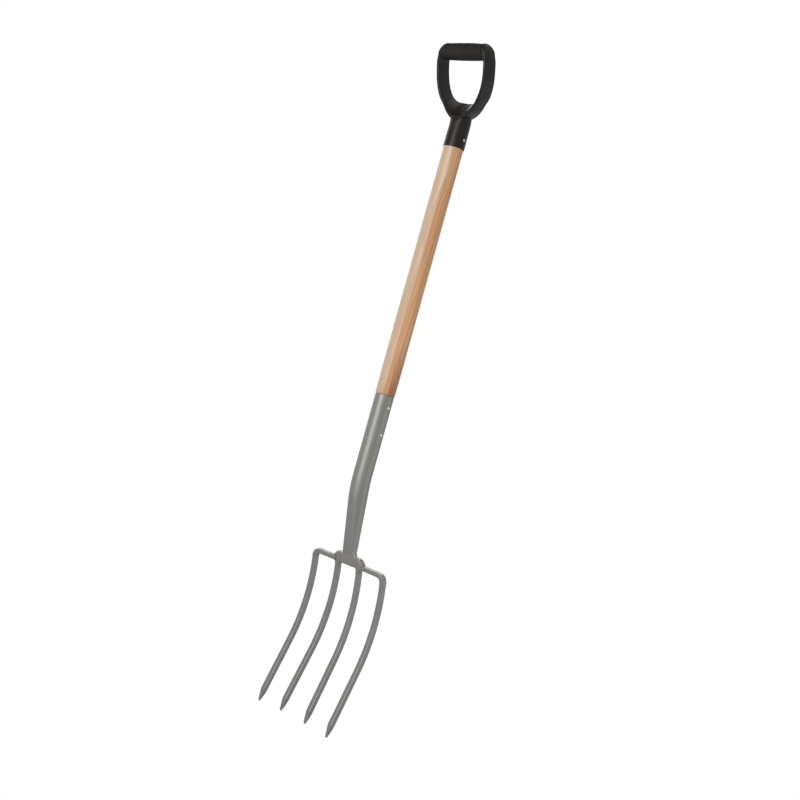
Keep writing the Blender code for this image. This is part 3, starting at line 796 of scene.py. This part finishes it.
def shaft():
    """The turned wood between its two tenons."""
    full = SHAFT_DIAMETER / 2
    lower_tenon = SOCKET_DIAMETER / 2 - SOCKET_WALL - GAP
    upper_tenon = COLLAR_RIM_DIAMETER / 2 - COLLAR_WALL - GAP
    bottom = SOCKET_RIM_HEIGHT + GAP
    top = SOCKET_RIM_HEIGHT + SHAFT_EXPOSED - GAP
    profile = [
        (bottom - SOCKET_TENON_LENGTH, lower_tenon - TENON_CHAMFER),
        (bottom - SOCKET_TENON_LENGTH + TENON_CHAMFER, lower_tenon),
        (bottom, lower_tenon),
        (bottom, full - SHAFT_END_EASE - SHAFT_EDGE_ROUND),
        (bottom + SHAFT_EDGE_MIDDLE, full - SHAFT_END_EASE - SHAFT_EDGE_MIDDLE),
        (bottom + SHAFT_EDGE_ROUND, full - SHAFT_END_EASE),
    ]
    heights = steps_between(bottom + SHAFT_EASE_LENGTH, top, 3 * SECTION_STEP)
    profile += [(height, full) for height in heights]
    profile += [
        (top, upper_tenon),
        (top + GRIP_TENON_LENGTH - TENON_CHAMFER, upper_tenon),
        (top + GRIP_TENON_LENGTH, upper_tenon - TENON_CHAMFER),
    ]
    return turned(ROUND_SIDES, profile)


def rivet(height, around):
    """Two low domes, one on each side, on the shank between them."""
    seat = around / 2 + RIVET_SEAT_GAP
    bm = bmesh.new()
    radius = RIVET_HEAD / 2
    last = bm.verts.new((0.0, 0.0, -seat - RIVET_DOME))
    places = []
    for step in range(1, 9):
        angle = math.pi / 2 * step / 8
        places.append((radius * math.sin(angle), seat + RIVET_DOME * math.cos(angle)))
    outline = [(out, -along) for out, along in places]
    shank = radius * RIVET_SHANK_SHARE
    outline += [(shank, -seat + RIVET_UNDERCUT), (shank, seat - RIVET_UNDERCUT)]
    outline += places[::-1] + [(0.0, seat + RIVET_DOME)]
    edges = []
    for out, along in outline:
        following = bm.verts.new((out, 0.0, along))
        edges.append(bm.edges.new((last, following)))
        last = following
    bmesh.ops.spin(
        bm,
        geom=bm.verts[:] + edges,
        cent=(0, 0, 0),
        axis=(0, 0, 1),
        angle=math.tau,
        steps=32,
        use_merge=True,
    )
    bmesh.ops.remove_doubles(bm, verts=bm.verts, dist=0.001)
    bmesh.ops.recalc_face_normals(bm, faces=bm.faces)
    bm.transform(Matrix.Translation((0, 0, height)) @ Matrix.Rotation(math.pi / 2, 4, "Y"))
    return bm


GRIP_RIM_HEIGHT = SOCKET_RIM_HEIGHT + SHAFT_EXPOSED
PIVOT_HEIGHT = GRIP_RIM_HEIGHT + GRIP_PIVOT


def grip_point(across, up, front):
    """The place in space of a point in the grip's leaning plane, or off its front."""
    back = -up * math.sin(GRIP_LEAN) - front * math.cos(GRIP_LEAN)
    height = PIVOT_HEIGHT + up * math.cos(GRIP_LEAN) - front * math.sin(GRIP_LEAN)
    return Vector((across, back, height))


def strap_section(outer, inner, half_deep, forward, slope, edge=STRAP_EDGE):
    """A section of the grip's strap, whose inner side can slope down towards the front."""
    outer, inner = Vector(outer), Vector(inner)
    way = (outer - inner).normalized()
    width = (outer - inner).length
    middle = (outer + inner) / 2

    def point(turn):
        along, off = corners_spread(turn, width / 2, half_deep, edge)
        place = middle + way * along
        front = forward + off
        fall = slope * (0.5 - along / width) * front
        return grip_point(place.x, place.y - fall, front)

    return point


def strap_sections():
    """Sections of half the strap, from its dome over the bar's end down and round to the throat."""
    crown = STRAP_TOP_DIAMETER / 2
    top = BAR_PLACE + crown
    fall = GRIP_OPENING_TOP - OPENING_FLARE - OPENING_BOTTOM
    sections = []
    for step in range(25):
        turn = STRAP_DOME_TURN * (1 - step / 24)
        up = BAR_PLACE + crown * math.sin(turn)
        deep = min(STRAP_TOP_DEPTH / 2, crown * math.cos(turn))
        rise = (up - GRIP_OPENING_TOP) / (top - GRIP_OPENING_TOP)
        inner = GRIP_OPENING_HALF - STRAP_TOP_INSET * rise
        outer = GRIP_OPENING_HALF + STRAP_THICKNESS - STRAP_TOP_CORNER * rise**STRAP_TOP_CURVE
        edge = STRAP_EDGE + STRAP_TOP_SOFTER * rise
        sections.append(strap_section((outer, up), (inner, up), deep, 0.0, 0.0, edge))
    outer = GRIP_OPENING_HALF + STRAP_THICKNESS, GRIP_OPENING_TOP
    inner = GRIP_OPENING_HALF, GRIP_OPENING_TOP
    sections.append(strap_section(outer, inner, STRAP_TOP_DEPTH / 2, 0.0, 0.0))
    for step in range(53):
        turn = math.pi / 2 * step / 52
        wide = max(0.0, math.cos(turn)) ** (2 / OPENING_FULLNESS)
        deep = math.sin(turn) ** (2 / OPENING_FULLNESS)
        inner = Vector((GRIP_OPENING_HALF * wide, OPENING_BOTTOM + fall * (1 - deep)))
        out = wide ** (OPENING_FULLNESS - 1) / GRIP_OPENING_HALF
        down = deep ** (OPENING_FULLNESS - 1) / fall
        angle = math.degrees(math.atan2(down, out))
        throat = ramp(angle, *THROAT_THICKENS) ** THROAT_THICKENING
        thick = STRAP_THICKNESS + (THROAT_HEIGHT - STRAP_THICKNESS) * throat
        away = Vector((math.cos(math.radians(angle)), -math.sin(math.radians(angle))))
        extra = THROAT_EXTRA_DEPTH * ramp(angle, *THROAT_DEEPENS) ** THROAT_DEEPENING
        grown = (STRAP_DEPTH - STRAP_TOP_DEPTH) * ramp(angle, *STRAP_WIDENS)
        half_deep = (STRAP_TOP_DEPTH + grown) / 2 + extra
        slope = math.tan(THROAT_FALL) * ramp(angle, *THROAT_SLOPES)
        sections.append(strap_section(inner + away * thick, inner, half_deep, extra, slope))
    return sections


def collar_sections():
    """Sections of the collar from its rim, tipping back at the top to lie under the throat's slope."""
    rim = COLLAR_RIM_DIAMETER / 2
    neck = COLLAR_NECK_DIAMETER / 2
    neck_height = GRIP_RIM_HEIGHT + COLLAR_STRAIGHT
    throat = grip_point(0.0, OPENING_BOTTOM - COLLAR_TOP_COVER, COLLAR_TOP_FORWARD)
    places = []
    for step in range(5):
        angle = math.pi / 2 * step / 4
        out = rim - COLLAR_RIM_EASE * (1 - math.sin(angle))
        places.append((0.0, GRIP_RIM_HEIGHT + COLLAR_RIM_EASE * (1 - math.cos(angle)), 0.0, out, out))
    for height in steps_between(GRIP_RIM_HEIGHT + COLLAR_RIM_EASE, neck_height, COLLAR_STEP)[1:]:
        out = rim + (neck - rim) * ramp(height, GRIP_RIM_HEIGHT + COLLAR_RIM_EASE, neck_height)
        places.append((0.0, height, 0.0, out, out))
    for step in range(1, 11):
        share = step / 10
        height = neck_height + (throat.z - neck_height) * share
        tilt = (GRIP_LEAN + THROAT_FALL) * share
        wide = neck + COLLAR_TOP_WIDER * share
        deep = neck - COLLAR_TOP_SHALLOWER * share**4
        places.append((throat.y * share**2, height, tilt, wide, deep))

    def section(back, height, tilt, half_wide, half_deep):
        def point(turn):
            off = half_deep * math.sin(turn)
            return Vector(
                (half_wide * math.cos(turn), back + off * math.cos(tilt), height + off * math.sin(tilt))
            )

        return point

    return [section(*place) for place in places]


def along_bar(bm):
    """Turns a mesh made about the Z axis to lie along the bar, across the grip."""
    middle = grip_point(0.0, BAR_PLACE, 0.0)
    bm.transform(Matrix.Translation(middle) @ Matrix.Rotation(math.pi / 2, 4, "Y"))
    return bm


def as_tool(name, bm):
    """An object that is joined to another, or cut from it, and then removed."""
    mesh = bpy.data.meshes.new(name)
    bm.to_mesh(mesh)
    bm.free()
    made = bpy.data.objects.new(name, mesh)
    bpy.context.scene.collection.objects.link(made)
    return made


def grip_frame():
    """Straps, throat, collar and the bar's core run together as one moulding."""
    core_half = GRIP_OPENING_HALF - STRAP_THICKNESS / 3
    core_radius = BAR_CORE_DIAMETER / 2
    bore_radius = COLLAR_RIM_DIAMETER / 2 - COLLAR_WALL
    bore_end = GRIP_RIM_HEIGHT + GRIP_TENON_LENGTH + GAP
    core_ends = [(-core_half, core_radius), (core_half, core_radius)]
    bore_ends = [(GRIP_RIM_HEIGHT - 5.0, bore_radius), (bore_end, bore_radius)]
    straps = as_tool("straps", doubled(sweep(BAR_SIDES, strap_sections())))
    collar = as_tool("collar", sweep(ROUND_SIDES, collar_sections()))
    core = as_tool("core", along_bar(turned(BAR_SIDES, core_ends)))
    bore = as_tool("bore", turned(ROUND_SIDES, bore_ends))
    for tool, operation in ((collar, "UNION"), (core, "UNION"), (bore, "DIFFERENCE")):
        boolean = straps.modifiers.new(tool.name, "BOOLEAN")
        boolean.operation = operation
        boolean.object = tool
    bpy.context.view_layer.update()
    shape = straps.evaluated_get(bpy.context.evaluated_depsgraph_get())
    bm = bmesh.new()
    bm.from_mesh(shape.to_mesh())
    shape.to_mesh_clear()
    for tool in (straps, collar, core, bore):
        bpy.data.objects.remove(tool)
    return bm


def grip_sleeve():
    """The barrel round the bar's core, slanted at its ends and run flush into the left strap."""
    crown = STRAP_TOP_DIAMETER / 2
    slant = STRAP_TOP_INSET / (BAR_PLACE + crown - GRIP_OPENING_TOP)
    end = GRIP_OPENING_HALF - slant * (BAR_PLACE - GRIP_OPENING_TOP) - GAP * 2
    middle_radius = BAR_DIAMETER / 2
    end_radius = BAR_END_DIAMETER / 2
    bore_radius = BAR_CORE_DIAMETER / 2 + GAP

    def section(share, radius):
        def point(turn):
            blend = ramp(-share, BAR_BLENDED_FROM, 1.0) if radius > bore_radius else 0.0
            full = radius + (BAR_BLENDED_DIAMETER / 2 - radius) * blend
            up = full * math.cos(turn)
            across = share * end - slant * up * math.copysign(abs(share) ** 4, share)
            return grip_point(across - BAR_BLENDED_REACH * blend, BAR_PLACE + up, full * math.sin(turn))

        return point

    edge = [
        (1.0, bore_radius),
        (1.0, end_radius - BAR_EDGE_DROP),
        (BAR_EDGE_SHARE, end_radius - BAR_EDGE_EASE),
    ]
    places = [(-share, radius) for share, radius in edge]
    for step in range(-20, 21):
        share = step / 20 * BAR_BARREL_SHARE
        bulge = 1 - abs(share) ** BAR_FULLNESS
        places.append((share, end_radius + (middle_radius - end_radius) * bulge))
    places += edge[::-1]
    return closed_sweep(ROUND_SIDES, [section(*place) for place in places])


def way_to(azimuth, elevation):
    """The direction of an azimuth, where 0 is the fork's front and 90 its right, and an elevation."""
    azimuth, elevation = math.radians(azimuth), math.radians(elevation)
    level = math.cos(elevation)
    return Vector((math.sin(azimuth) * level, -math.cos(azimuth) * level, math.sin(elevation)))


def softbox(name, azimuth, elevation, distance, width, height, power, middle=FORK_MIDDLE):
    """A soft light that faces a place on the fork's line."""
    way = way_to(azimuth, elevation)
    light = bpy.data.lights.new(name, "AREA")
    light.shape = "RECTANGLE"
    light.size = width
    light.size_y = height
    light.energy = power
    lamp = bpy.data.objects.new(name, light)
    lamp.location = Vector(middle) + way * distance
    lamp.rotation_euler = way.to_track_quat("Z", "Y").to_euler()
    lamp.visible_camera = False
    bpy.context.scene.collection.objects.link(lamp)


def studio():
    """A white floor and surround that only the camera sees, soft lights and a grey world.

    The world is darker in one corner, which the grip's inner sides reflect, and a little darker below.
    """
    white = bpy.data.materials.new("studio_white")
    white.use_nodes = True
    shader = white.node_tree.nodes["Principled BSDF"]
    shader.inputs["Base Color"].default_value = (0.0, 0.0, 0.0, 1.0)
    shader.inputs["Specular IOR Level"].default_value = 0.0
    shader.inputs["Emission Color"].default_value = (1.0, 1.0, 1.0, 1.0)
    shader.inputs["Emission Strength"].default_value = 1.0
    bm = bmesh.new()
    bmesh.ops.create_circle(bm, cap_ends=True, segments=ROUND_SIDES, radius=ROOM_RADIUS)
    rim = [edge for edge in bm.edges if edge.is_boundary]
    grown = bmesh.ops.extrude_edge_only(bm, edges=rim)["geom"]
    wall = [item for item in grown if isinstance(item, bmesh.types.BMVert)]
    bmesh.ops.translate(bm, vec=(0, 0, ROOM_RADIUS), verts=wall)
    top = [edge for edge in bm.edges if all(vert.co.z > ROOM_RADIUS / 2 for vert in edge.verts)]
    bmesh.ops.holes_fill(bm, edges=top, sides=0)
    bmesh.ops.recalc_face_normals(bm, faces=bm.faces)
    mesh = bpy.data.meshes.new("studio_room")
    bm.to_mesh(mesh)
    bm.free()
    mesh.materials.append(white)
    room = bpy.data.objects.new("studio_room", mesh)
    bpy.context.scene.collection.objects.link(room)
    room.visible_diffuse = False
    room.visible_glossy = False
    room.visible_shadow = False

    world = bpy.data.worlds.new("studio_world")
    world.use_nodes = True
    sky = Pattern(world.node_tree)
    way = sky.node("ShaderNodeTexCoord", output="Generated")
    settings = {"operation": "DOT_PRODUCT"}
    nearness = sky.node("ShaderNodeVectorMath", settings, {0: way, 1: way_to(*DARK_CORNER)}, "Value")
    corner = sky.spread(nearness, *DARK_CORNER_REACH, WORLD_STRENGTH, DARK_CORNER_STRENGTH)
    strength = corner * sky.spread(sky.part(way, "Z"), *DIMMER_BELOW, DIMMER_SHARE, 1.0)
    background = world.node_tree.nodes["Background"]
    sky.fill(background.inputs["Strength"], strength)
    background.inputs["Color"].default_value = (1.0, 1.0, 1.0, 1.0)
    bpy.context.scene.world = world

    softbox("key_light", 8.0, 8.5, distance=2.2, width=1.35, height=1.55, power=32.0)
    softbox("left_fill", -82.0, 12.0, distance=2.6, width=1.6, height=1.8, power=9.0)
    softbox("right_fill", 124.0, -6.0, distance=2.6, width=1.8, height=1.4, power=8.0)
    softbox("overhead", 215.0, 62.0, distance=2.2, width=1.4, height=1.2, power=5.0, middle=COLLAR_LEVEL)
    softbox("back_light", 230.0, 28.0, distance=2.6, width=1.6, height=1.0, power=11.0)
    softbox("grip_light", 218.0, 27.0, distance=1.3, width=0.9, height=0.5, power=9.0, middle=GRIP_LEVEL)


def camera():
    """The camera that was fitted to the photograph."""
    lens = bpy.data.cameras.new("photo_camera")
    lens.sensor_width = 36.0
    lens.lens = CAMERA_LENS
    lens.clip_end = 100.0
    made = bpy.data.objects.new("photo_camera", lens)
    made.matrix_world = (
        Matrix.Translation(HOME + CAMERA_FROM_HOME)
        @ Matrix.Rotation(CAMERA_HEADING, 4, "Z")
        @ Matrix.Rotation(math.pi / 2, 4, "X")
        @ Matrix.Rotation(CAMERA_ROLL, 4, "Z")
    )
    bpy.context.scene.collection.objects.link(made)
    bpy.context.scene.camera = made


STEEL = steel_finish("grey_coat", (0.254, 0.251, 0.24), (0.224, 0.22, 0.209), 0.44)
WELD = steel_finish("coated_weld", (0.272, 0.268, 0.258), (0.212, 0.208, 0.2), 0.46)
# The drops are coloured far lighter than the coat around them, a painted highlight standing for their glints
DROPS_PAINTED_GLINT = steel_finish("weld_drops_painted_glint", (0.6, 0.59, 0.56), (0.5, 0.49, 0.47), 0.38)
WOOD = wood_finish("lacquered_ash")
PLASTIC = plastic_finish("dark_moulding", (0.0096, 0.0074, 0.0055), 0.33)
SLEEVE = plastic_finish("dark_bar", (0.0108, 0.0088, 0.007), 0.58)
# One rivet steel in two copies: the collar's rivet darker as painted shade and the socket's rivets lighter
# as painted light
GRIP_RIVET_PAINTED_SHADE = rivet_finish("grip_rivet_steel_painted_shade", (0.46, 0.46, 0.445), (0.29, 0.29, 0.28))
SOCKET_RIVET_PAINTED_LIGHT = rivet_finish("socket_rivet_steel_painted_light", (0.76, 0.76, 0.74), (0.56, 0.56, 0.55))

piece("fork_centre", centre_fork(), STEEL, "coated_steel", "centre_fork")
piece("fork_outer_right", outer_tine(), STEEL, "coated_steel", "outer_tine_right")
piece("fork_outer_left", flipped(outer_tine()), STEEL, "coated_steel", "outer_tine_left")
piece("bead_right", arm_weld(), WELD, "weld_steel", "weld_right")
piece("bead_left", flipped(arm_weld()), WELD, "weld_steel", "weld_left")
piece("bead_foot", socket_weld(), WELD, "weld_steel", "weld_socket")
piece("weld_spatter", spatter(), DROPS_PAINTED_GLINT, "weld_steel")
piece("tube_socket", socket(), STEEL, "coated_steel", "socket")
piece("ash_shaft", shaft(), WOOD, "ash_wood", "shaft")
piece("moulded_grip", grip_frame(), PLASTIC, "grip_plastic", "grip_frame")
piece("bar_sleeve", grip_sleeve(), SLEEVE, "bar_plastic", "grip_sleeve")
for level, below in zip(("upper", "lower"), SOCKET_RIVETS_BELOW_RIM):
    socket_rivet = rivet(SOCKET_RIM_HEIGHT - below, SOCKET_DIAMETER)
    piece(f"{level}_rivet", socket_rivet, SOCKET_RIVET_PAINTED_LIGHT, "rivet_steel", f"socket_rivet_{level}")
collar_rivet = rivet(GRIP_RIM_HEIGHT + GRIP_RIVET_ABOVE_RIM, COLLAR_RIM_DIAMETER)
piece("collar_rivet", collar_rivet, GRIP_RIVET_PAINTED_SHADE, "rivet_steel", "grip_rivet")

studio()
camera()
bpy.context.scene.view_settings.view_transform = "Standard"
